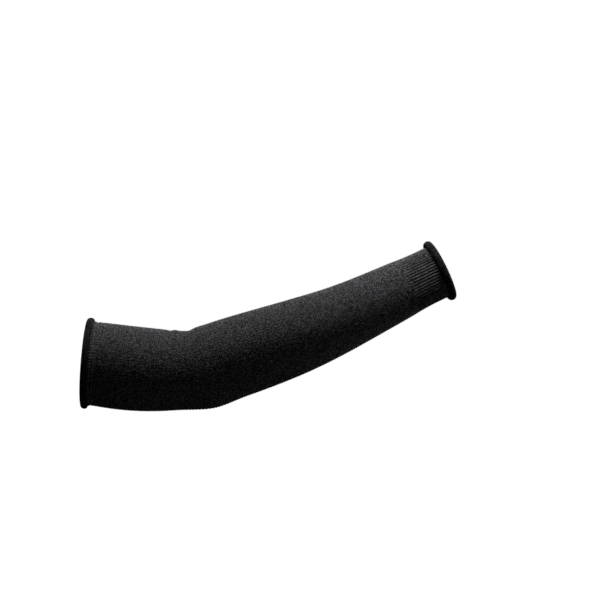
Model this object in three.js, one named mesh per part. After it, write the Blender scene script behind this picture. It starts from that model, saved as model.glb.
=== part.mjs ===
// Cut resistant sleeve for one arm: a seamless knitted tube in the form that it has when worn,
// with a ribbed band at the wrist and both free edges curled outward into soft rolls.
// The frame: +X runs along the sleeve towards the wrist, +Z points to the crook side of the elbow,
// and the origin is the middle of the arm at the elbow. The sleeve is alike on both sides of Y = 0.
// Lengths are millimetres and angles are degrees.

import * as THREE from "three";

// Lengths along the middle of the arm, from the elbow to each free edge
const UPPER_LENGTH = 113.4;
const FOREARM_LENGTH = 242.2;

// Slope of the upper arm, and how far the elbow and forearm turn up from it
const UPPER_SLOPE = -8.2;
const BEND = 34.4;

// Outer depth in the plane of the bend, and outer width across it
const UPPER_DEPTH = 78.6;
const ELBOW_DEPTH = 77;
const WRIST_DEPTH = 51.4;
const UPPER_WIDTH = 76;
const ELBOW_WIDTH = 79;
const WRIST_WIDTH = 44;

// The knitted wall
const WALL = 1.3;

// The ribbed band at the wrist
const RIB_LENGTH = 26;
const RIB_COUNT = 58;
const RIB_RELIEF = 0.6;

// The rolls at the free edges: their width along the sleeve, and how far they stand proud
const UPPER_ROLL_WIDTH = 6.4;
const UPPER_ROLL_PROUD = 4;
const WRIST_ROLL_WIDTH = 7.2;
const WRIST_ROLL_PROUD = 4.7;

// Clearance between one piece and the next
const GAP = 0.3;

// Facets
const AROUND = 40;
const RINGS_PER_SECTION = 2;
const ROLL_STEPS = 9;
const WALK_STEP = 0.5;

// The sections of the worn sleeve.
// along: share of the upper length below zero, of the forearm length above it.
// turn: share of the bend that the section has made.
// depth, width: fullness over the straight taper between the elbow and that end.
const SECTIONS = [
  { along: -1.0, turn: 0.12, depth: 0.975, width: 0.98 },
  { along: -0.93, turn: 0.1, depth: 0.983, width: 0.99 },
  { along: -0.82, turn: 0.0, depth: 0.998, width: 1.0 },
  { along: -0.66, turn: 0.06, depth: 1.006, width: 1.005 },
  { along: -0.5, turn: 0.13, depth: 1.0, width: 1.0 },
  { along: -0.35, turn: 0.2, depth: 0.98, width: 0.99 },
  { along: -0.22, turn: 0.28, depth: 0.958, width: 0.985 },
  { along: -0.12, turn: 0.41, depth: 0.965, width: 0.99 },
  { along: 0.0, turn: 0.647, depth: 1.0, width: 1.0 },
  { along: 0.05, turn: 0.775, depth: 1.013, width: 1.03 },
  { along: 0.1, turn: 0.79, depth: 1.024, width: 1.065 },
  { along: 0.19, turn: 0.77, depth: 1.037, width: 1.12 },
  { along: 0.3, turn: 0.795, depth: 1.044, width: 1.15 },
  { along: 0.42, turn: 0.865, depth: 1.036, width: 1.135 },
  { along: 0.54, turn: 0.925, depth: 1.012, width: 1.09 },
  { along: 0.67, turn: 0.973, depth: 0.983, width: 1.035 },
  { along: 0.8, turn: 0.997, depth: 0.968, width: 0.995 },
  { along: 0.9, turn: 0.985, depth: 0.955, width: 0.98 },
  { along: 1.0, turn: 0.98, depth: 1.0, width: 1.0 },
];

// Creases and swellings of the elbow, on the crook side (1) or the back (-1).
// along as above, dent: share of the elbow depth, below zero where it swells,
// length: share of the elbow depth to where it fades, sharp: 1 for a crease, 2 for a soft dent.
const FOLDS = [
  { along: -0.3, side: 1, dent: 0.007, length: 0.045, sharp: 2 },
  { along: -0.25, side: 1, dent: -0.008, length: 0.045, sharp: 2 },
  { along: -0.108, side: 1, dent: 0.018, length: 0.12, sharp: 1 },
  { along: -0.02, side: -1, dent: -0.01, length: 0.2, sharp: 2 },
  { along: 0.1, side: -1, dent: 0.004, length: 0.15, sharp: 2 },
  { along: 0.56, side: 1, dent: 0.008, length: 0.4, sharp: 2 },
];

const knit = { color: 0x1b1c1e, roughness: 0.92, metalness: 0 };
const rolled = { color: 0x151618, roughness: 0.94, metalness: 0 };

// Distance along the arm, in millimetres from the elbow
function distanceAt(along) {
  return along * (along < 0 ? UPPER_LENGTH : FOREARM_LENGTH);
}

// One column of the section table at any distance: a smooth curve through its rows
function column(name, distance) {
  const rows = SECTIONS.map((row) => ({ at: distanceAt(row.along), value: row[name] }));
  const last = rows.length - 1;
  const next = rows.findIndex((row) => row.at > distance);
  const b = next < 0 ? last : Math.max(next, 1);
  const a = b - 1;
  const span = rows[b].at - rows[a].at;
  const t = THREE.MathUtils.clamp((distance - rows[a].at) / span, 0, 1);
  const slope = (i) => {
    const before = rows[Math.max(i - 1, 0)];
    const after = rows[Math.min(i + 1, last)];
    return (after.value - before.value) / (after.at - before.at);
  };
  const rise = 3 * t ** 2 - 2 * t ** 3;
  const start = t ** 3 - 2 * t ** 2 + t;
  const end = t ** 3 - t ** 2;
  return rows[a].value * (1 - rise) + rows[b].value * rise + span * (start * slope(a) + end * slope(b));
}

// A named size that tapers straight from the elbow to the end on that side, times its fullness
function girth(name, distance, upper, elbow, wrist) {
  const end = distance < 0 ? upper : wrist;
  const share = distance / (distance < 0 ? -UPPER_LENGTH : FOREARM_LENGTH);
  return THREE.MathUtils.lerp(elbow, end, share) * column(name, distance);
}

function heading(distance) {
  return THREE.MathUtils.degToRad(UPPER_SLOPE + BEND * column("turn", distance));
}

// The middle of the arm at a distance from the elbow, with the section's slope and half sizes
function station(distance) {
  const count = Math.max(1, Math.ceil(Math.abs(distance) / WALK_STEP));
  const stride = distance / count;
  let x = 0;
  let z = 0;
  for (let i = 0; i < count; i += 1) {
    const slope = heading((i + 0.5) * stride);
    x += Math.cos(slope) * stride;
    z += Math.sin(slope) * stride;
  }
  return {
    distance,
    x,
    z,
    slope: heading(distance),
    depth: girth("depth", distance, UPPER_DEPTH, ELBOW_DEPTH, WRIST_DEPTH) / 2,
    width: girth("width", distance, UPPER_WIDTH, ELBOW_WIDTH, WRIST_WIDTH) / 2,
  };
}

// How far the creases press the surface in, at a distance and an angle from the crook line
function pressedIn(distance, angle) {
  let total = 0;
  for (const fold of FOLDS) {
    const facing = Math.max(0, fold.side * Math.cos(angle));
    const away = Math.abs(distance - distanceAt(fold.along)) / (fold.length * ELBOW_DEPTH);
    total += fold.dent * ELBOW_DEPTH * facing ** 2 * Math.exp(-(away ** fold.sharp));
  }
  return total;
}

// A point of the sleeve: its section, its angle from the crook line, and how deep under the outer face
function wallPoint(section, angle, inset) {
  const depth = section.depth - inset - pressedIn(section.distance, angle);
  const up = depth * Math.cos(angle);
  const y = (section.width - inset) * Math.sin(angle);
  const x = section.x - up * Math.sin(section.slope);
  const z = section.z + up * Math.cos(section.slope);
  return new THREE.Vector3(x, y, z);
}

// A closed wall that runs round the arm: a closed profile of { distance, inset } swept through the angles
function ringSolid(name, look, profile, angles, relief = () => 0) {
  const rings = profile.map((point) => {
    const section = station(point.distance);
    return angles.map((angle, i) => wallPoint(section, angle, point.inset + (point.outer ? relief(i) : 0)));
  });
  const positions = rings.flat().flatMap((point) => point.toArray());
  const index = [];
  const count = angles.length;
  rings.forEach((ring, r) => {
    const nextRing = ((r + 1) % rings.length) * count;
    for (let i = 0; i < count; i += 1) {
      const j = (i + 1) % count;
      const a = r * count + i;
      const b = r * count + j;
      index.push(a, nextRing + i, nextRing + j, a, nextRing + j, b);
    }
  });
  const geometry = new THREE.BufferGeometry();
  geometry.setAttribute("position", new THREE.Float32BufferAttribute(positions, 3));
  geometry.setIndex(index);
  geometry.computeVertexNormals();
  const mesh = new THREE.Mesh(geometry, new THREE.MeshStandardMaterial(look));
  mesh.name = name;
  return mesh;
}

function evenAngles(count) {
  return Array.from({ length: count }, (_, i) => (i / count) * 2 * Math.PI);
}

// Where the pieces meet, as distances from the elbow
const upperEdge = -UPPER_LENGTH;
const wristEdge = FOREARM_LENGTH;
const bodyStart = upperEdge + UPPER_ROLL_WIDTH + GAP;
const ribEnd = wristEdge - WRIST_ROLL_WIDTH - GAP;
const ribStart = ribEnd - RIB_LENGTH;
const bodyEnd = ribStart - GAP;

// The plain-knit tube, with rings at every section, between them and at the middle of every fold
function knitBody() {
  const stops = SECTIONS.slice(1).flatMap((row, i) => {
    const from = distanceAt(SECTIONS[i].along);
    const to = distanceAt(row.along);
    return Array.from({ length: RINGS_PER_SECTION }, (_, k) => from + ((to - from) * k) / RINGS_PER_SECTION);
  });
  stops.push(...FOLDS.map((fold) => distanceAt(fold.along)));
  stops.sort((a, b) => a - b);
  const inside = stops.filter((stop, i) => {
    const clearOfEnds = stop > bodyStart + WALL && stop < bodyEnd - WALL;
    return clearOfEnds && (i === 0 || stop - stops[i - 1] > WALL);
  });
  const distances = [bodyStart, ...inside, bodyEnd];
  const outer = distances.map((distance) => ({ distance, inset: 0 }));
  const inner = distances.map((distance) => ({ distance, inset: WALL })).reverse();
  return ringSolid("knit_body", knit, [...outer, ...inner], evenAngles(AROUND));
}

// The ribbed band: each rib is a flat crest and a groove, straight along the arm
function wristRib() {
  const crestAndGroove = [0.08, 0.52, 0.66, 0.94];
  const angles = [];
  for (let rib = 0; rib < RIB_COUNT; rib += 1) {
    crestAndGroove.forEach((share) => angles.push(((rib + share) / RIB_COUNT) * 2 * Math.PI));
  }
  const outer = [ribStart, (ribStart + ribEnd) / 2, ribEnd].map((distance) => {
    return { distance, inset: 0, outer: true };
  });
  const inner = [ribEnd, ribStart].map((distance) => ({ distance, inset: WALL }));
  const relief = (i) => (i % crestAndGroove.length < 2 ? 0 : RIB_RELIEF);
  return ringSolid("wrist_rib", knit, [...outer, ...inner], angles, relief);
}

// A rolled edge: the wall runs on under the roll, and the roll is round from where it lifts off the wall.
// start is the distance where it meets the sleeve, and outward is 1 towards the wrist, -1 towards the shoulder.
function rolledEdge(name, start, outward, width, proud) {
  const high = (WALL + proud) / 2;
  const liftOff = Math.asin(THREE.MathUtils.clamp((high - WALL) / high, 0, 1));
  const profile = [
    { distance: start, inset: WALL },
    { distance: start, inset: 0 },
  ];
  for (let i = 0; i <= ROLL_STEPS; i += 1) {
    const turn = THREE.MathUtils.lerp(Math.PI + liftOff, -Math.PI / 2, i / ROLL_STEPS);
    const run = (width / 2) * (1 + Math.cos(turn));
    const inset = WALL - high * (1 + Math.sin(turn));
    profile.push({ distance: start + outward * run, inset });
  }
  return ringSolid(name, rolled, outward > 0 ? profile : profile.reverse(), evenAngles(AROUND));
}

const sleeve = new THREE.Group();
sleeve.name = "cut_resistant_sleeve";
sleeve.add(rolledEdge("upper_roll", upperEdge + UPPER_ROLL_WIDTH, -1, UPPER_ROLL_WIDTH, UPPER_ROLL_PROUD));
sleeve.add(knitBody());
sleeve.add(wristRib());
sleeve.add(rolledEdge("wrist_roll", wristEdge - WRIST_ROLL_WIDTH, 1, WRIST_ROLL_WIDTH, WRIST_ROLL_PROUD));

export default sleeve;
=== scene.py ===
# %% [markdown]
# # A knitted arm sleeve
# The sleeve is one seamless tube of plain knit. A band of rib holds it at the wrist, and both free
# edges curl outward into soft rolls, because plain knit always curls where it isn't held.
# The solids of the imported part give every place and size. They could be dressed with a flat cloth
# material, but then the outline would stay faceted and no stitch would catch the light. So each solid
# is replaced by a new mesh on the same form that has its stitches as real relief.

import bpy
import numpy as np
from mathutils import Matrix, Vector


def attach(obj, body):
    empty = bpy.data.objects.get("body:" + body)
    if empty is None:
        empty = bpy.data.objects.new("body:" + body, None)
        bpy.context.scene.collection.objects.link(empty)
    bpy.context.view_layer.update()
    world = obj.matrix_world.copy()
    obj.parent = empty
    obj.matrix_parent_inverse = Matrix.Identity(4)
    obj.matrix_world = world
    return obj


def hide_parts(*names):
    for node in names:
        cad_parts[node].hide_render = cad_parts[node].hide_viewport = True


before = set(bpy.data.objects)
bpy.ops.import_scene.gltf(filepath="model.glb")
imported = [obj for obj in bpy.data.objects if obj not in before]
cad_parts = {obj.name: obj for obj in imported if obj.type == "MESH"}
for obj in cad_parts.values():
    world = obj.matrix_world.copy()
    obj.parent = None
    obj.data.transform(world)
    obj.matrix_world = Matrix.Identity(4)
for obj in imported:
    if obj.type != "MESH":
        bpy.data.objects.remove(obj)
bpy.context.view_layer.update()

# %% [markdown]
# ## The form on the arm
# A sleeve has no form of its own: it takes the form of what it is pulled over. Its middle line runs
# down the upper arm, turns up at the elbow and goes on to the wrist, and an oval stands across that
# line at every place. A sculpted mesh could hold this too, but a short table of ovals is exact, and
# the same table made the solids. Lengths are millimetres along the middle line from the elbow.

# %% Sizes and sections of the worn sleeve
MM = 0.001
UPPER_LENGTH = 113.4
FOREARM_LENGTH = 242.2
UPPER_SLOPE = -8.2
BEND = 34.4
DEPTHS = {"upper": 78.6, "elbow": 77.0, "wrist": 51.4}
WIDTHS = {"upper": 76.0, "elbow": 79.0, "wrist": 44.0}
WALL = 1.3
UPPER_ROLL = {"width": 6.4, "proud": 4.0}
WRIST_ROLL = {"width": 7.2, "proud": 4.7}
RIB_LENGTH = 26.0
GAP = 0.3

# along: share of the upper length below zero, of the forearm length above it
# then the share of the bend that is made, and the fullness of the depth and of the width
SECTIONS = np.array([
    (-1.0, 0.12, 0.975, 0.98),
    (-0.93, 0.1, 0.983, 0.99),
    (-0.82, 0.0, 0.998, 1.0),
    (-0.66, 0.06, 1.006, 1.005),
    (-0.5, 0.13, 1.0, 1.0),
    (-0.35, 0.2, 0.98, 0.99),
    (-0.22, 0.28, 0.958, 0.985),
    (-0.12, 0.41, 0.965, 0.99),
    (0.0, 0.647, 1.0, 1.0),
    (0.05, 0.775, 1.013, 1.03),
    (0.1, 0.79, 1.024, 1.065),
    (0.19, 0.77, 1.037, 1.12),
    (0.3, 0.795, 1.044, 1.15),
    (0.42, 0.865, 1.036, 1.135),
    (0.54, 0.925, 1.012, 1.09),
    (0.67, 0.973, 0.983, 1.035),
    (0.8, 0.997, 0.968, 0.995),
    (0.9, 0.985, 0.955, 0.98),
    (1.0, 0.98, 1.0, 1.0),
])

# along as above, side: 1 on the crook and -1 on the back, dent and length as shares of the elbow's
# depth, sharp: 1 for a crease and 2 for a soft dent
FOLDS = [
    (-0.3, 1, 0.007, 0.045, 2),
    (-0.25, 1, -0.008, 0.045, 2),
    (-0.108, 1, 0.018, 0.12, 1),
    (-0.02, -1, -0.01, 0.2, 2),
    (0.1, -1, 0.004, 0.15, 2),
    (0.56, 1, 0.008, 0.4, 2),
]


def distance_at(along):
    """Millimetres from the elbow, for a share of the length on its side."""
    return along * np.where(np.asarray(along) < 0, UPPER_LENGTH, FOREARM_LENGTH)


STOPS = distance_at(SECTIONS[:, 0])
print("sleeve length on the arm:", round(float(STOPS[-1] - STOPS[0]), 1), "mm")

# %% [markdown]
# ## Smooth sizes between the sections
# Straight lines between the ovals would show as facets under a low light. A curve through the table's
# rows, with the slope at each row taken from its neighbours, has no corners and passes through every
# measured size.

# %% A smooth column of the table
def column(number, distance):
    """Column of the section table at any distances: a smooth curve through its rows."""
    values = SECTIONS[:, number]
    slopes = np.gradient(values)
    slopes[1:-1] = (values[2:] - values[:-2]) / (STOPS[2:] - STOPS[:-2])
    slopes[0] = (values[1] - values[0]) / (STOPS[1] - STOPS[0])
    slopes[-1] = (values[-1] - values[-2]) / (STOPS[-1] - STOPS[-2])
    low = np.clip(np.searchsorted(STOPS, distance, side="right") - 1, 0, len(STOPS) - 2)
    span = STOPS[low + 1] - STOPS[low]
    t = np.clip((distance - STOPS[low]) / span, 0, 1)
    rise = 3 * t**2 - 2 * t**3
    start = (t**3 - 2 * t**2 + t) * span * slopes[low]
    end = (t**3 - t**2) * span * slopes[low + 1]
    return values[low] * (1 - rise) + values[low + 1] * rise + start + end


def half_size(sizes, number, distance):
    """Half the depth or width of the oval: a straight taper to each end, times its fullness."""
    upper = -distance / UPPER_LENGTH
    lower = distance / FOREARM_LENGTH
    upper_taper = sizes["elbow"] + (sizes["upper"] - sizes["elbow"]) * upper
    lower_taper = sizes["elbow"] + (sizes["wrist"] - sizes["elbow"]) * lower
    return np.where(distance < 0, upper_taper, lower_taper) * column(number, distance) / 2


def smooth_step(t):
    """0 below 0, 1 above 1, and a soft rise between."""
    t = np.clip(t, 0, 1)
    return t * t * (3 - 2 * t)


# %% [markdown]
# ## A point of the fabric
# With the middle line walked out in short steps, every point of the cloth has a plain address: how far
# along the arm, at which angle round it, and how high over the outer face. All pieces use the same
# address, so they meet without fitting.

# %% Walk the middle line and place a point
WALK_STEP = 0.25
WALK_MARGIN = 12
WALK = np.arange(STOPS[0] - WALK_MARGIN, STOPS[-1] + WALK_MARGIN, WALK_STEP)
HEADINGS = np.radians(UPPER_SLOPE + BEND * column(1, WALK))
MIDDLES = (HEADINGS[1:] + HEADINGS[:-1]) / 2
WALK_X = np.concatenate([[0], np.cumsum(np.cos(MIDDLES))]) * WALK_STEP
WALK_Z = np.concatenate([[0], np.cumsum(np.sin(MIDDLES))]) * WALK_STEP
WALK_X = WALK_X - np.interp(0, WALK, WALK_X)
WALK_Z = WALK_Z - np.interp(0, WALK, WALK_Z)


def pressed_in(distance, angle):
    """How far the creases of the elbow press the surface in."""
    total = np.zeros(np.broadcast(distance, angle).shape)
    for along, side, dent, length, sharp in FOLDS:
        facing = np.maximum(0, side * np.cos(angle))
        away = np.abs(distance - distance_at(along)) / (length * DEPTHS["elbow"])
        total = total + dent * DEPTHS["elbow"] * facing**2 * np.exp(-(away**sharp))
    return total


def fabric_point(distance, angle, proud):
    """Points in metres. Angle 0 is the crook line, and proud is the height over the outer face."""
    heading = np.interp(distance, WALK, HEADINGS)
    depth = half_size(DEPTHS, 2, distance) + proud - pressed_in(distance, angle)
    width = half_size(WIDTHS, 3, distance) + proud
    up = depth * np.cos(angle)
    x = np.interp(distance, WALK, WALK_X) - up * np.sin(heading)
    y = width * np.sin(angle)
    z = np.interp(distance, WALK, WALK_Z) + up * np.cos(heading)
    return np.stack([x, y, z], axis=-1) * MM


elbow_tip = fabric_point(np.array(0.0), np.array(np.pi), np.array(0.0))
print("back of the elbow:", elbow_tip.round(4))

# %% [markdown]
# ## One maker for every ring of knit
# Each piece is a closed wall that runs round the arm: outer face, inner face and the ends between them.
# A modifier could thicken a single sheet, but it would copy the stitches to the inner face as well.
# Here the whole section is given as rings of points, and the maker joins them into quads.
# Two UV maps go on: OFBake spreads the wall over one square for baking, and Stitches counts wales
# round the arm and courses along it, so the yarn pattern in the material knows where each stitch is.
# An attribute says how high each point lies in its stitch, so that the material can paint shade down
# between the stitches, where less light gets.

# %% Make a wall from its rings
WALES = 87
PER_WALE = 6
COLUMNS = WALES * PER_WALE
WALE = np.arange(COLUMNS) / PER_WALE
ANGLE = 2 * np.pi * WALE / WALES


def knit_wall(name, rings, courses, raised, inner, creases):
    """rings: points by ring and column, closed both ways. courses: course number of each ring, and of
    the first one again. raised: 1 on top of the yarn and 0 down between stitches, for each point.
    inner: True for a ring whose faces lie inside. creases: rings with a hard edge."""
    # quads between each ring and the next, and between each column and the next
    count = len(rings)
    ring, col = np.meshgrid(np.arange(count), np.arange(COLUMNS), indexing="ij")
    next_ring = (ring + 1) % count
    next_col = (col + 1) % COLUMNS
    corners = [(ring, col), (next_ring, col), (next_ring, next_col), (ring, next_col)]
    quads = np.stack([r * COLUMNS + c for r, c in corners], axis=-1).reshape(-1, 4)
    mesh = bpy.data.meshes.new(name)
    mesh.from_pydata(rings.reshape(-1, 3).tolist(), [], quads.tolist())
    mesh.shade_smooth()
    # OFBake goes by distance round the section, Stitches by wale and course
    steps = np.linalg.norm(rings[(np.arange(count) + 1) % count, 0] - rings[:, 0], axis=-1)
    along = np.concatenate([[0], np.cumsum(steps + 1e-6)])
    along = along / along[-1]
    u = np.stack([col, col, col + 1, col + 1], axis=-1) / COLUMNS
    v = np.stack([along[ring], along[ring + 1], along[ring + 1], along[ring]], axis=-1)
    course = np.stack([courses[ring], courses[ring + 1], courses[ring + 1], courses[ring]], axis=-1)
    for layer, pair in (("OFBake", (u, v)), ("Stitches", (u * WALES, course))):
        mesh.uv_layers.new(name=layer).uv.foreach_set("vector", np.stack(pair, axis=-1).ravel())
    # the second material lies inside, and creases are sharp along the whole ring
    mesh.polygons.foreach_set("material_index", np.asarray(inner)[ring].astype(int).ravel())
    yarn_top = mesh.attributes.new("Raised", "FLOAT", "POINT")
    yarn_top.data.foreach_set("value", np.asarray(raised, np.float32).ravel())
    ends = np.empty(len(mesh.edges) * 2, int)
    mesh.edges.foreach_get("vertices", ends)
    first, second = (ends.reshape(-1, 2) // COLUMNS).T
    hard = mesh.attributes.new("sharp_edge", "BOOLEAN", "EDGE")
    hard.data.foreach_set("value", (first == second) & np.isin(first, creases))
    piece = bpy.data.objects.new(name, mesh)
    bpy.context.scene.collection.objects.link(piece)
    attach(piece, "root")
    print(name, len(quads) * 2, "triangles")
    return piece


# %% [markdown]
# ## Plain knit
# Seen from outside, plain knit is columns of small Vs, called wales. Each V is one stitch, and one round
# of them is a course. A height map could raise them, but a flat grid cuts their slanting legs into
# steps. So the rows of the grid follow the legs: they run up and down across each wale in a zigzag,
# and every second row is sunk between two stitches. The zigzag dies out at both ends of the tube, where
# its rows have to meet the straight rows of the band and of the roll.

# %% Heights of a plain stitch
BODY_START = UPPER_ROLL["width"] - UPPER_LENGTH
RIB_END = FOREARM_LENGTH - WRIST_ROLL["width"]
RIB_START = RIB_END - GAP - RIB_LENGTH
COURSES = 141
COURSE = (RIB_START - BODY_START) / COURSES
CALM_COURSES = 3
LEG_RISE = 0.62
STITCH_RELIEF = 0.75
LOWEST_YARN = 0.12
MEETING_HEIGHT = 0.6
SUNK_ROW = 0.15

# lean: 0 in the middle of a wale and 1 at its edges, leg: 1 on the ridge of each of its two legs
lean = np.abs(WALE % 1 - 0.5) * 2
leg = np.sin(np.pi * ((2 * WALE) % 1))


def course_distance(course):
    """Millimetres along the arm of a row of stitches, with its zigzag."""
    calm = smooth_step(course / CALM_COURSES) * smooth_step((COURSES - course) / CALM_COURSES)
    return BODY_START + COURSE * (course + LEG_RISE * (lean - 0.5) * calm)


def plain_relief(crest):
    """Height of the yarn, 0 to 1: legs stand up, the middle of the V lies lower, wales part deepest.
    crest: 1 for a row on top of the stitches and 0 for a sunk one."""
    meeting = MEETING_HEIGHT * (1 - lean) * (1 - leg)
    across = LOWEST_YARN + (1 - LOWEST_YARN) * (leg + meeting)
    return across * (SUNK_ROW + (1 - SUNK_ROW) * crest)


elbow_round = np.pi * (DEPTHS["elbow"] + WIDTHS["elbow"]) / 2
print("course:", round(COURSE, 2), "mm; wale at the elbow:", round(elbow_round / WALES, 2), "mm")

# %% [markdown]
# ## Rib knit
# In one-by-one rib every second wale is turned to the inside. The outer wales close up to raised cords
# and the others sink between them, which is what makes the band springy. Cords laid on a smooth band
# would be quicker, but they would stop in a hard line where the sleeve begins. So the band has the same
# grid as the sleeve, with two cords in the width of three wales, and the sleeve's last courses lead
# over into it.

# %% Heights of the rib
RIB_DEPTH = 1.0
RIB_LEAD_IN = 9.0
RIB_SETTLE = 2.0
RIB_CREST = 0.85
PLAIN_LEVEL = 0.55
RIB_LEVEL = 0.85

# one cord and the groove beside it, column by column
RIB_SHAPE = np.array([0.2, 0.75, 1.0, 1.0, 0.75, 0.2, 0.0, 0.0, 0.0])
rib_height = RIB_SHAPE[np.arange(COLUMNS) % len(RIB_SHAPE)]


def rib_relief(crest):
    """Height of the rib, 0 to 1: raised cords with stitches on them, and sunk wales between."""
    return rib_height * (RIB_CREST + (1 - RIB_CREST) * crest)


def sleeve_relief(distance, crest):
    """Plain knit that leads over into rib at the wrist: millimetres over the face, and 0 to 1."""
    ribbed = smooth_step((distance - RIB_START + RIB_LEAD_IN) / (RIB_LEAD_IN + RIB_SETTLE))
    plain = plain_relief(crest)
    rib = rib_relief(crest)
    plain_height = STITCH_RELIEF * (plain - PLAIN_LEVEL)
    cord_height = RIB_DEPTH * (rib - RIB_LEVEL)
    return (1 - ribbed) * plain_height + ribbed * cord_height, (1 - ribbed) * plain + ribbed * rib


print("cords round the wrist:", COLUMNS // len(RIB_SHAPE))

# %% [markdown]
# ## The tube
# The real sleeve is knitted in one piece from edge to edge. One mesh could hold it, but it would be too
# heavy to handle with every stitch in it. So the tube is made in three lengths. They share the row of
# stitches where they meet, so no joint shows.

# %% Make the three lengths of the tube
INSIDE_ROWS = 15
# the inner face gets one even share of the painted shade between stitches
INSIDE_RAISED = 0.6
FLATTEN = 1.5


def under_roll(distance):
    """0 where the fabric runs under the upper roll and its stitches lie flat, 1 past it."""
    return smooth_step((distance - BODY_START) / FLATTEN)


def tube_length(name, first, last):
    """One length of the tube, from one course to another."""
    outer = np.arange(2 * first, 2 * last + 1) / 2
    inside = np.linspace(last, first, INSIDE_ROWS)
    crest = (outer * 2) % 2 == 0
    rows = []
    raised = []
    for course, on_crest in zip(outer, crest):
        distance = course_distance(course)
        height, top = sleeve_relief(distance, float(on_crest))
        rows.append(fabric_point(distance, ANGLE, height * under_roll(distance)))
        raised.append(top)
    for course in inside:
        rows.append(fabric_point(course_distance(course), ANGLE, np.full(COLUMNS, -WALL)))
        raised.append(np.full(COLUMNS, INSIDE_RAISED))
    rings = np.array(rows)
    courses = np.concatenate([outer, inside, outer[:1]])
    inner = np.arange(len(rings)) >= len(outer)
    creases = [0, len(outer) - 1, len(outer), len(rings) - 1]
    return knit_wall(name, rings, courses, raised, inner, creases)


THIRD = COURSES // 3
upper_tube = tube_length("upper_arm_knit", 0, THIRD)
elbow_tube = tube_length("elbow_knit", THIRD, 2 * THIRD)
forearm_tube = tube_length("forearm_knit", 2 * THIRD, COURSES)

# %% [markdown]
# ## The band at the wrist
# The band pulls the sleeve in round the wrist. It goes on from the last course of the tube, so its
# first row has the same heights. It could be knitted with Vs too, but on rib the eye follows the cords,
# so its rows are straight. Its last rows go down to where the wrist roll covers them.

# %% Make the ribbed band
RIB_ROWS = 36
RIB_DOWN = 1.2
RIB_DOWN_PAST_END = 0.7

rib_distances = np.linspace(RIB_START, RIB_END, RIB_ROWS)
rib_courses = COURSES + (rib_distances - RIB_START) / COURSE
rib_rings = []
rib_raised = []
for row, place in enumerate(rib_distances):
    place = np.full(COLUMNS, place)
    height, top = sleeve_relief(place, float(row % 2 == 0))
    height = height * smooth_step((RIB_END + RIB_DOWN_PAST_END - place) / RIB_DOWN)
    rib_rings.append(fabric_point(place, ANGLE, height))
    rib_raised.append(top)
for place in (RIB_END, (RIB_START + RIB_END) / 2, RIB_START):
    rib_rings.append(fabric_point(np.full(COLUMNS, place), ANGLE, np.full(COLUMNS, -WALL)))
    rib_raised.append(np.full(COLUMNS, INSIDE_RAISED))
rib_back = np.array([rib_courses[-1], (rib_courses[0] + rib_courses[-1]) / 2, rib_courses[0]])
rib_inner = np.arange(len(rib_rings)) >= RIB_ROWS
rib_band = knit_wall(
    "ribbed_band",
    np.array(rib_rings),
    np.concatenate([rib_courses, rib_back, rib_courses[:1]]),
    rib_raised,
    rib_inner,
    [0, RIB_ROWS - 1, RIB_ROWS, RIB_ROWS + 2],
)

# %% [markdown]
# ## The curled edges
# A free edge of plain knit rolls up on itself towards its outer face, so the roll shows the back of the
# stitches: short bumps in staggered rows. A ring with a round section would do from afar. The real one
# is a strip that comes out from under, turns over and tucks its end in beside the sleeve, so the
# section here is that spiral, with a thickness.

# %% The spiral section of a roll
FIRST_TURN = -90
LAST_TURN = 262
TUCK_FROM = 140
CURL_ROWS = 54
STRIP_ROOM = 0.1


def curl_section(width, proud):
    """The strip's outer line from under the roll to its tucked end, as run and height over the inner
    face, with the direction that points away from the strip and how far it is tucked."""
    high = (WALL + proud) / 2
    turn = np.radians(np.linspace(FIRST_TURN, LAST_TURN, CURL_ROWS))
    tuck = smooth_step((np.degrees(turn) - TUCK_FROM) / (LAST_TURN - TUCK_FROM))
    shrink = 1 - tuck * (1 - (high - WALL - STRIP_ROOM) / high)
    run = width / 2 * (1 + np.cos(turn) * shrink)
    height = high * (1 + np.sin(turn) * shrink)
    line = np.stack([run, height], axis=-1)
    heading = np.gradient(line, axis=0)
    out = np.stack([heading[:, 1], -heading[:, 0]], axis=-1)
    return line, out / np.linalg.norm(out, axis=-1, keepdims=True), tuck


upper_line = curl_section(**UPPER_ROLL)[0]
print("upper roll reaches", upper_line.max(axis=0).round(2), "mm")

# %% [markdown]
# ## From section to roll
# On the back of plain knit each stitch is a short bump, and the bumps of one course stand between those
# of the next. They are raised along the outer line of the strip only. The line under it is the hidden
# side, with half the rows and no bumps.

# %% Make a roll
ROLL_COURSE = 1.25
PURL_RELIEF = 0.42
PURL_LEVEL = 0.75
BUMP_LEAD_ROWS = 4
SOFT_END = 12
THINNER_END = 0.3
# the hidden side of a roll gets one even share of the painted shade between stitches
HIDDEN_RAISED = 0.5


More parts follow.
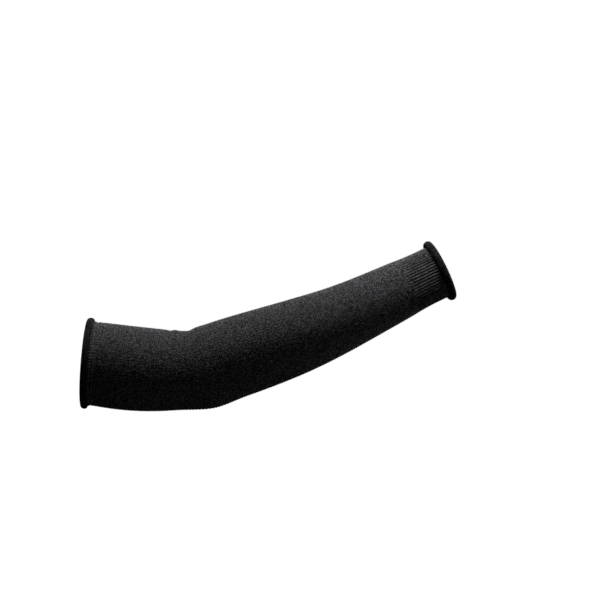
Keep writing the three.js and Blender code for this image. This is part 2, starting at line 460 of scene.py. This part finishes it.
def curled_edge(name, start, outward, width, proud, uneven):
    """A curled edge that starts at a distance along the arm and grows outward, 1 to the wrist.
    uneven: waves in its height round the arm, each as lobes, share of the height and phase."""
    line, out, tuck = curl_section(width, proud)
    steps = np.linalg.norm(np.diff(line, axis=0), axis=-1)
    course = np.concatenate([[0], np.cumsum(steps)]) / ROLL_COURSE
    stagger = np.cos(2 * np.pi * WALE)
    turn = np.linspace(FIRST_TURN, LAST_TURN, CURL_ROWS)
    soft_end = smooth_step((LAST_TURN - turn) / SOFT_END)
    wave = 1 + sum(share * np.sin(lobes * ANGLE + phase) for lobes, share, phase in uneven)
    hidden = np.full(COLUMNS, HIDDEN_RAISED)
    section = []
    numbers = []
    raised = []

    def add_row(run, high, number, top):
        section.append((run + np.zeros(COLUMNS), high + np.zeros(COLUMNS)))
        numbers.append(number)
        raised.append(top)

    for run in (0.0, width / 4):
        add_row(run, 0.0, 0.0, hidden)
    for row in range(CURL_ROWS):
        purl = 0.5 + 0.5 * np.cos(2 * np.pi * course[row]) * stagger
        share = soft_end[row] * smooth_step((row - 1) / BUMP_LEAD_ROWS)
        bump = PURL_RELIEF * share * (purl - PURL_LEVEL)
        place = line[row] + bump[:, None] * out[row]
        add_row(place[:, 0], place[:, 1] * wave, course[row], purl)
    for row in range(CURL_ROWS - 1, BUMP_LEAD_ROWS, -2):
        place = line[row] - (WALL - STRIP_ROOM) * (1 - THINNER_END * tuck[row]) * out[row]
        add_row(place[0], place[1] * wave, course[row], hidden)
    for run in (width / 4, 0.0):
        add_row(run, WALL, 0.0, hidden)
    rings = np.array([fabric_point(start + outward * run, ANGLE, high - WALL) for run, high in section])
    numbers = np.array(numbers + numbers[:1])
    if outward > 0:
        rings = rings[::-1]
        numbers = numbers[::-1]
        raised = raised[::-1]
    return knit_wall(name, rings, numbers, raised, np.zeros(len(rings), bool), [0, len(rings) - 1])


UNEVEN = [(3, 0.015, 0.4), (7, 0.012, 2.1), (13, 0.008, 4.0)]
upper_roll = curled_edge("upper_rolled_edge", BODY_START, -1, **UPPER_ROLL, uneven=UNEVEN)
wrist_roll = curled_edge("wrist_rolled_edge", RIB_END, 1, **WRIST_ROLL, uneven=UNEVEN)

# %% [markdown]
# ## The stitched line at the upper roll
# Beside the upper roll two rows of small loops of a lighter thread catch the light. They hold the curled
# edge, one loop to a wale. A dotted texture would lie flat, so each loop is a short bent length of
# thread that comes out of the fabric and goes back in.

# %% Make the loops
LOOP_SIDES = 6
LOOP_STEPS = 8
LOOP_SLANT = 0.5
THREAD = 0.28

# a direction that no loop runs along, so that it can stand across each thread
SIDEWAYS = np.array([0.0, 0.31, 0.2])


def loop_row(from_point, to_point, rise, lift):
    """Loops from one address (distance, proud) to another, one on every wale. rise and lift: how far
    the middle of a loop stands out from the fabric, and how far it is moved along the arm."""
    angles = 2 * np.pi * (np.arange(WALES) + 0.5) / WALES
    t = np.linspace(0, 1, LOOP_STEPS)
    arch = np.sin(np.pi * t)
    distance = from_point[0] + (to_point[0] - from_point[0]) * t + arch * lift
    proud = from_point[1] + (to_point[1] - from_point[1]) * t + arch * rise
    slant = 2 * np.pi / WALES * LOOP_SLANT * (t - 0.5)
    return fabric_point(distance[None, :], angles[:, None] + slant[None, :], proud[None, :])


def thread_mesh(name, rows):
    """Round threads along the given lines."""
    vertices = []
    faces = []
    for lines in rows:
        for line in lines:
            base = len(vertices)
            ahead = np.gradient(line, axis=0)
            ahead = ahead / np.linalg.norm(ahead, axis=-1, keepdims=True)
            side = np.cross(ahead, SIDEWAYS + line[0] * 0.1)
            side = side / np.linalg.norm(side, axis=-1, keepdims=True)
            top = np.cross(side, ahead)
            for k in range(LOOP_STEPS):
                for s in range(LOOP_SIDES):
                    a = 2 * np.pi * s / LOOP_SIDES
                    vertices.append(line[k] + THREAD * MM * (np.cos(a) * side[k] + np.sin(a) * top[k]))
            for k in range(LOOP_STEPS - 1):
                for s in range(LOOP_SIDES):
                    n = (s + 1) % LOOP_SIDES
                    low = base + k * LOOP_SIDES
                    faces.append((low + s, low + n, low + LOOP_SIDES + n, low + LOOP_SIDES + s))
            faces.append(tuple(base + s for s in range(LOOP_SIDES - 1, -1, -1)))
            faces.append(tuple(base + (LOOP_STEPS - 1) * LOOP_SIDES + s for s in range(LOOP_SIDES)))
    mesh = bpy.data.meshes.new(name)
    mesh.from_pydata([tuple(v) for v in vertices], [], faces)
    mesh.shade_smooth()
    piece = bpy.data.objects.new(name, mesh)
    bpy.context.scene.collection.objects.link(piece)
    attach(piece, "root")
    print(name, len(faces), "faces")
    return piece


roll_loops = loop_row((BODY_START - 0.2, 0.7), (BODY_START + 2.1, -0.5), 0.45, 0.2)
sleeve_loops = loop_row((BODY_START + 3.7, -0.5), (BODY_START + 5.7, -0.5), 0.7, 0.0)
edge_loops = thread_mesh("edge_loops", [roll_loops, sleeve_loops])

# %% [markdown]
# ## The yarn
# The sleeve is knitted from a dull black yarn with paler fibres in it, which resist cuts. The mesh has
# the stitches, so the material adds what is smaller: the twist of the strands, loose fibres, pale
# specks, and small differences in tone from leg to leg. The pale specks and the palest legs are partly
# paler fibres and partly painted glints of light on the yarn. They keep black cloth from looking like
# rubber.
# A picture of cloth could be laid on instead, but it would not follow these stitches. The material
# works from the Stitches map, so it does.

# %% Helpers for the materials
def new_material(name):
    """An empty material with its shader and output."""
    material = bpy.data.materials.new(name)
    material.use_nodes = True
    nodes = material.node_tree.nodes
    nodes.clear()
    output = nodes.new("ShaderNodeOutputMaterial")
    shader = nodes.new("ShaderNodeBsdfPrincipled")
    material.node_tree.links.new(shader.outputs["BSDF"], output.inputs["Surface"])
    return material, shader


def add_node(material, kind, inputs, **settings):
    """A node with its settings, whose inputs are numbers or other nodes' outputs."""
    node = material.node_tree.nodes.new(kind)
    for key, value in settings.items():
        setattr(node, key, value)
    for key, value in inputs.items():
        if isinstance(value, bpy.types.NodeSocket):
            material.node_tree.links.new(value, node.inputs[key])
        else:
            node.inputs[key].default_value = value
    return node


def maths(material, operation, *values):
    """One step of arithmetic."""
    return add_node(material, "ShaderNodeMath", dict(enumerate(values)), operation=operation).outputs[0]


# %% Tone and fine relief of the yarn
SPECK_AND_GLINT_SCALE = 1000.0
FIBRE_SCALE = 2600.0
FIBRE_TONE = 0.6
TWIST_BUMP = 0.1
FIBRE_BUMP = 0.8


def mixed_tone(material, wale, course, speck_and_glint, fibre, balance, spread, turns, specks_and_glints):
    """0 for the darkest and 1 for the palest spots: each leg by chance, every second leg, specks and
    fibres.
    The pale legs and specks are partly paler fibres and partly painted glints on the yarn.
    """
    leg_number = maths(material, "FLOOR", maths(material, "MULTIPLY", wale, 2.0))
    course_number = maths(material, "FLOOR", maths(material, "ADD", course, 0.5))
    own = add_node(material, "ShaderNodeCombineXYZ", {0: leg_number, 1: course_number}).outputs[0]
    chance = add_node(material, "ShaderNodeTexWhiteNoise", {"Vector": own}, noise_dimensions="3D")
    checker = maths(material, "FLOORED_MODULO", maths(material, "ADD", leg_number, course_number), 2.0)
    start = balance - (spread + turns + specks_and_glints + FIBRE_TONE) / 2
    # painted glints: the legs that are pale by chance and the pale specks stand partly for light caught
    # by the yarn
    mixed = maths(material, "MULTIPLY_ADD", chance.outputs["Value"], spread, start)
    mixed = maths(material, "MULTIPLY_ADD", checker, turns, mixed)
    mixed = maths(material, "MULTIPLY_ADD", speck_and_glint, specks_and_glints, mixed)
    return maths(material, "MULTIPLY_ADD", fibre, FIBRE_TONE, mixed)


def yarn_height(material, wale, course, fibre, stitch_bump):
    """Relief that is finer than the mesh: round legs, twisted strands and fibres."""
    across_leg = maths(material, "FRACT", maths(material, "MULTIPLY", wale, 2.0))
    legs = maths(material, "SINE", maths(material, "MULTIPLY", across_leg, np.pi))
    beat = maths(material, "COSINE", maths(material, "MULTIPLY", course, 2 * np.pi))
    stitch = maths(material, "MULTIPLY", legs, maths(material, "MULTIPLY_ADD", beat, 0.5, 0.5))
    strands = maths(material, "MULTIPLY_ADD", course, 3.0, maths(material, "MULTIPLY", wale, 4.0))
    twist = maths(material, "SINE", maths(material, "MULTIPLY", strands, 2 * np.pi))
    height = maths(material, "MULTIPLY", stitch, stitch_bump)
    height = maths(material, "MULTIPLY_ADD", twist, TWIST_BUMP, height)
    return maths(material, "MULTIPLY_ADD", fibre, FIBRE_BUMP, height)


# %% Black yarn
ROUGH_SPREAD = 0.08
BUMP_DISTANCE = 0.00025
BUMP_STRENGTH = 0.8


def yarn_material(name, tone, pale, balance, spread, turns, specks_and_glints, rough, shine, stitch_bump, gap_painted_shade):
    """Black yarn. tone and pale: its colour in the darkest and the palest spots, balance: 0 when most of
    it is dark and 1 when most is pale, spread: how much legs differ by chance, partly as painted glints,
    turns: how much every second leg is paler, specks_and_glints: how much pale fibres and painted glints
    show, rough: how dull it is, shine: how strongly it mirrors light, stitch_bump: how high the fine
    legs
    stand, gap_painted_shade: how much painted shade darkens the colour between the stitches."""
    material, shader = new_material(name)
    place = add_node(material, "ShaderNodeUVMap", {}, uv_map="Stitches").outputs["UV"]
    apart = add_node(material, "ShaderNodeSeparateXYZ", {0: place})
    wale = apart.outputs["X"]
    course = apart.outputs["Y"]
    body = add_node(material, "ShaderNodeTexCoord", {}).outputs["Object"]
    speck_and_glint = add_node(
        material, "ShaderNodeTexNoise", {"Vector": body, "Scale": SPECK_AND_GLINT_SCALE, "Detail": 0.0}
    ).outputs["Fac"]
    fibre = add_node(
        material, "ShaderNodeTexNoise", {"Vector": body, "Scale": FIBRE_SCALE, "Detail": 4.0}
    ).outputs["Fac"]
    mixed = mixed_tone(material, wale, course, speck_and_glint, fibre, balance, spread, turns, specks_and_glints)
    ramp = add_node(material, "ShaderNodeValToRGB", {"Fac": mixed})
    ramp.color_ramp.elements[0].color = (*tone, 1)
    ramp.color_ramp.elements[1].color = (*pale, 1)
    raised = add_node(material, "ShaderNodeAttribute", {}, attribute_name="Raised").outputs["Fac"]
    # painted shade: the colour is darkened where Raised is low, down between the stitches
    painted_gap_shade = maths(material, "MULTIPLY_ADD", raised, gap_painted_shade, 1 - gap_painted_shade)
    shaded = add_node(
        material,
        "ShaderNodeVectorMath",
        {0: ramp.outputs["Color"], "Scale": painted_gap_shade},
        operation="SCALE",
    )
    dullness = add_node(
        material,
        "ShaderNodeMapRange",
        {
            "Value": fibre,
            "From Min": 0.3,
            "From Max": 0.7,
            "To Min": rough - ROUGH_SPREAD,
            "To Max": rough + ROUGH_SPREAD,
        },
    )
    height = yarn_height(material, wale, course, fibre, stitch_bump)
    bump = add_node(
        material,
        "ShaderNodeBump",
        {"Height": height, "Strength": BUMP_STRENGTH, "Distance": BUMP_DISTANCE},
    )
    links = material.node_tree.links
    links.new(shaded.outputs["Vector"], shader.inputs["Base Color"])
    links.new(dullness.outputs["Result"], shader.inputs["Roughness"])
    links.new(bump.outputs["Normal"], shader.inputs["Normal"])
    shader.inputs["Specular IOR Level"].default_value = shine
    shader.inputs["Sheen Weight"].default_value = shine * 0.04
    shader.inputs["Sheen Roughness"].default_value = 0.5
    return material


# %% [markdown]
# ## Four looks of one yarn
# The plain knit shows the mottled front of the stitches. On the ribs the cords close up and look
# smoother, with dark grooves between them. The rolls show the back, which is duller, and their
# colour is painted darker as well, as painted shade. The inside is plain.

# %% Make the four materials
black_yarn = yarn_material(
    "black_yarn",
    tone=(0.002, 0.0023, 0.0033),
    pale=(0.3, 0.304, 0.322),
    balance=0.25,
    spread=0.5,
    turns=0.3,
    specks_and_glints=5.5,
    rough=0.62,
    shine=0.25,
    stitch_bump=1.0,
    gap_painted_shade=0.92,
)
rib_yarn = yarn_material(
    "black_yarn_of_the_rib",
    tone=(0.007, 0.0073, 0.0085),
    pale=(0.24, 0.245, 0.258),
    balance=0.4,
    spread=0.3,
    turns=0.0,
    specks_and_glints=2.4,
    rough=0.62,
    shine=0.3,
    stitch_bump=0.3,
    gap_painted_shade=0.97,
)
# painted shade: the rolls get the same yarn in a darker colour
purl_yarn_in_painted_shade = yarn_material(
    "black_yarn_back_in_painted_shade",
    tone=(0.001, 0.0011, 0.0014),
    pale=(0.08, 0.081, 0.087),
    balance=0.25,
    spread=0.5,
    turns=0.0,
    specks_and_glints=3.4,
    rough=0.75,
    shine=0.08,
    stitch_bump=0.6,
    gap_painted_shade=0.92,
)
inside_yarn = yarn_material(
    "black_yarn_inside",
    tone=(0.008, 0.0083, 0.0095),
    pale=(0.08, 0.081, 0.087),
    balance=0.5,
    spread=0.5,
    turns=0.3,
    specks_and_glints=2.0,
    rough=0.75,
    shine=0.3,
    stitch_bump=1.0,
    gap_painted_shade=0.5,
)
print("materials:", [m.name for m in bpy.data.materials if m.name.startswith("black")])

# %% Grey thread of the loops
loop_thread, loop_shader = new_material("grey_thread")
thread_place = add_node(loop_thread, "ShaderNodeTexCoord", {}).outputs["Object"]
thread_noise = add_node(loop_thread, "ShaderNodeTexNoise", {"Vector": thread_place, "Scale": 900.0})
thread_ramp = add_node(loop_thread, "ShaderNodeValToRGB", {"Fac": thread_noise.outputs["Fac"]})
thread_ramp.color_ramp.elements[0].color = (0.04, 0.041, 0.044, 1)
thread_ramp.color_ramp.elements[1].color = (0.22, 0.224, 0.235, 1)
loop_thread.node_tree.links.new(thread_ramp.outputs["Color"], loop_shader.inputs["Base Color"])
loop_shader.inputs["Roughness"].default_value = 0.55

# %% [markdown]
# ## Dress the pieces
# Each piece gets its finish, and the solid that it stands for is hidden. A new sleeve of this kind lies
# about 102 mm wide and 300 mm long between band and roll, which gives each length of the tube 205 by
# 100 mm.

# %% Finishes, stand-ins and flat sizes
KNIT_WIDTH = 0.205
WRIST_EDGE_WIDTH = 0.14

for piece in (upper_tube, elbow_tube, forearm_tube):
    piece.data.materials.append(black_yarn)
    piece.data.materials.append(inside_yarn)
    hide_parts("knit_body")
rib_band.data.materials.append(rib_yarn)
rib_band.data.materials.append(inside_yarn)
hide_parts("wrist_rib")
for piece, node, width in (
    (upper_roll, "upper_roll", KNIT_WIDTH),
    (wrist_roll, "wrist_roll", WRIST_EDGE_WIDTH),
):
    piece.data.materials.append(purl_yarn_in_painted_shade)
    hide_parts(node)
edge_loops.data.materials.append(loop_thread)

# %% [markdown]
# ## Floor and backdrop
# A pale floor runs up into a round wall and over into a ceiling with no corner, as in a photographer's
# white room, so the sleeve stands before plain white from every side. A flat sheet behind the sleeve
# would do for one view only. The room lies far off and is hidden from bounced light, because light
# that came back from it would lift the sleeve's dark under side.

# %% Make the white room
ROOM_FLOOR = -1.6
ROOM_WALL = 4.0
ROOM_ROUND = 1.0
ROOM_HIGH = 3.0
ROOM_DOME = 2.0
ROOM_SIDES = 64
ROOM_STEPS = 12

# rounded foot of the wall, then the ceiling up to its middle
room_turn = np.linspace(0, np.pi / 2, ROOM_STEPS)
foot_reach = ROOM_WALL - ROOM_ROUND * (1 - np.sin(room_turn))
foot_height = ROOM_FLOOR + ROOM_ROUND * (1 - np.cos(room_turn))
ceiling_reach = ROOM_WALL * np.cos(room_turn[:-1])
ceiling_height = ROOM_HIGH + ROOM_DOME * np.sin(room_turn[:-1])
room_reach = np.concatenate([foot_reach, ceiling_reach])
room_height = np.concatenate([foot_height, ceiling_height])
room_angle = 2 * np.pi * np.arange(ROOM_SIDES) / ROOM_SIDES
room_points = [(0.0, 0.0, ROOM_FLOOR), (0.0, 0.0, ROOM_HIGH + ROOM_DOME)]
for reach, height in zip(room_reach, room_height):
    room_points += [(reach * np.cos(a), reach * np.sin(a), height) for a in room_angle]
room_faces = []
last_ring = 2 + (len(room_reach) - 1) * ROOM_SIDES
for k in range(ROOM_SIDES):
    n = (k + 1) % ROOM_SIDES
    room_faces.append((0, 2 + k, 2 + n))
    room_faces.append((1, last_ring + n, last_ring + k))
    for ring in range(len(room_reach) - 1):
        low = 2 + ring * ROOM_SIDES
        room_faces.append((low + k, low + ROOM_SIDES + k, low + ROOM_SIDES + n, low + n))
print("room:", len(room_faces), "faces")

# %% Place the room
room_mesh = bpy.data.meshes.new("white_room")
room_mesh.from_pydata(room_points, [], room_faces)
room_mesh.shade_smooth()
room = bpy.data.objects.new("white_room", room_mesh)
bpy.context.scene.collection.objects.link(room)
room.visible_diffuse = False
room.visible_glossy = False
room.visible_shadow = False
paper, paper_shader = new_material("white_paper")
paper_shader.inputs["Base Color"].default_value = (0.85, 0.85, 0.85, 1)
paper_shader.inputs["Roughness"].default_value = 0.9
paper_shader.inputs["Emission Color"].default_value = (1, 1, 1, 1)
paper_shader.inputs["Emission Strength"].default_value = 1.0
room_mesh.materials.append(paper)

# %% [markdown]
# ## Light
# The real sleeve was lit from high above with a large soft source: the upper side shows every stitch,
# and the under side falls off to near black. An even white surround would be simpler, but it would
# light the under side as much as the top. So one big lamp hangs overhead. A small narrow one lifts the
# forearm near the wrist, and a dim one below keeps the under side from going fully black. Three more
# stand behind the sleeve and off its two ends, for the sides that the photo doesn't show.

# %% Lamps and a dim surround
def soft_light(name, place, target, size, power, spread):
    """A square area light that points at a target, with its spread in degrees."""
    data = bpy.data.lights.new(name, "AREA")
    data.spread = np.radians(spread)
    data.shape = "SQUARE"
    data.size = size
    data.energy = power
    lamp = bpy.data.objects.new(name, data)
    lamp.location = place
    lamp.rotation_euler = (Vector(target) - Vector(place)).to_track_quat("-Z", "Y").to_euler()
    bpy.context.scene.collection.objects.link(lamp)
    return lamp


soft_light("overhead", (-0.03, -0.1, 1.0), (0.03, 0.0, 0.03), 0.5, 6.3, 180)
soft_light("forearm_lamp", (0.3, -0.35, 0.7), (0.2, 0.0, 0.085), 0.1, 0.036, 20)
soft_light("low_fill", (0.5, -0.5, -0.5), (0.1, 0.0, 0.0), 0.5, 0.39, 180)
soft_light("back_fill", (0.1, 1.3, 0.6), (0.05, 0.0, 0.03), 0.8, 7.0, 180)
soft_light("wrist_end_fill", (1.2, 0.3, 0.35), (0.22, 0.0, 0.1), 0.4, 7.0, 180)
soft_light("upper_end_fill", (-1.2, 0.6, 0.25), (-0.1, 0.0, 0.0), 0.4, 3.0, 180)
surround = bpy.data.worlds.new("surround")
surround.use_nodes = True
surround.node_tree.nodes["Background"].inputs["Color"].default_value = (1, 1, 1, 1)
surround.node_tree.nodes["Background"].inputs["Strength"].default_value = 0.005
bpy.context.scene.world = surround
bpy.context.scene.view_settings.view_transform = "Standard"

# %% [markdown]
# ## Camera
# The picture was taken level with the elbow from a few steps away. The rolls bulge to the left at one
# end and to the right at the other, which says that the camera stood opposite the elbow and looked
# slightly to the right.

# %% Camera
CAMERA_PLACE = Vector((0.005, -1.35, 0.03))
CAMERA_TARGET = Vector((0.0872, 0.0, 0.0635))
PICTURE_WIDTH = 0.5615

camera_data = bpy.data.cameras.new("camera")
camera = bpy.data.objects.new("camera", camera_data)
bpy.context.scene.collection.objects.link(camera)
camera.location = CAMERA_PLACE
camera.rotation_euler = (CAMERA_TARGET - CAMERA_PLACE).to_track_quat("-Z", "Y").to_euler()
camera_data.lens = camera_data.sensor_width * (CAMERA_TARGET - CAMERA_PLACE).length / PICTURE_WIDTH
camera_data.clip_start = 0.01
camera_data.clip_end = 50
bpy.context.scene.camera = camera
print("lens:", round(camera_data.lens, 1), "mm")
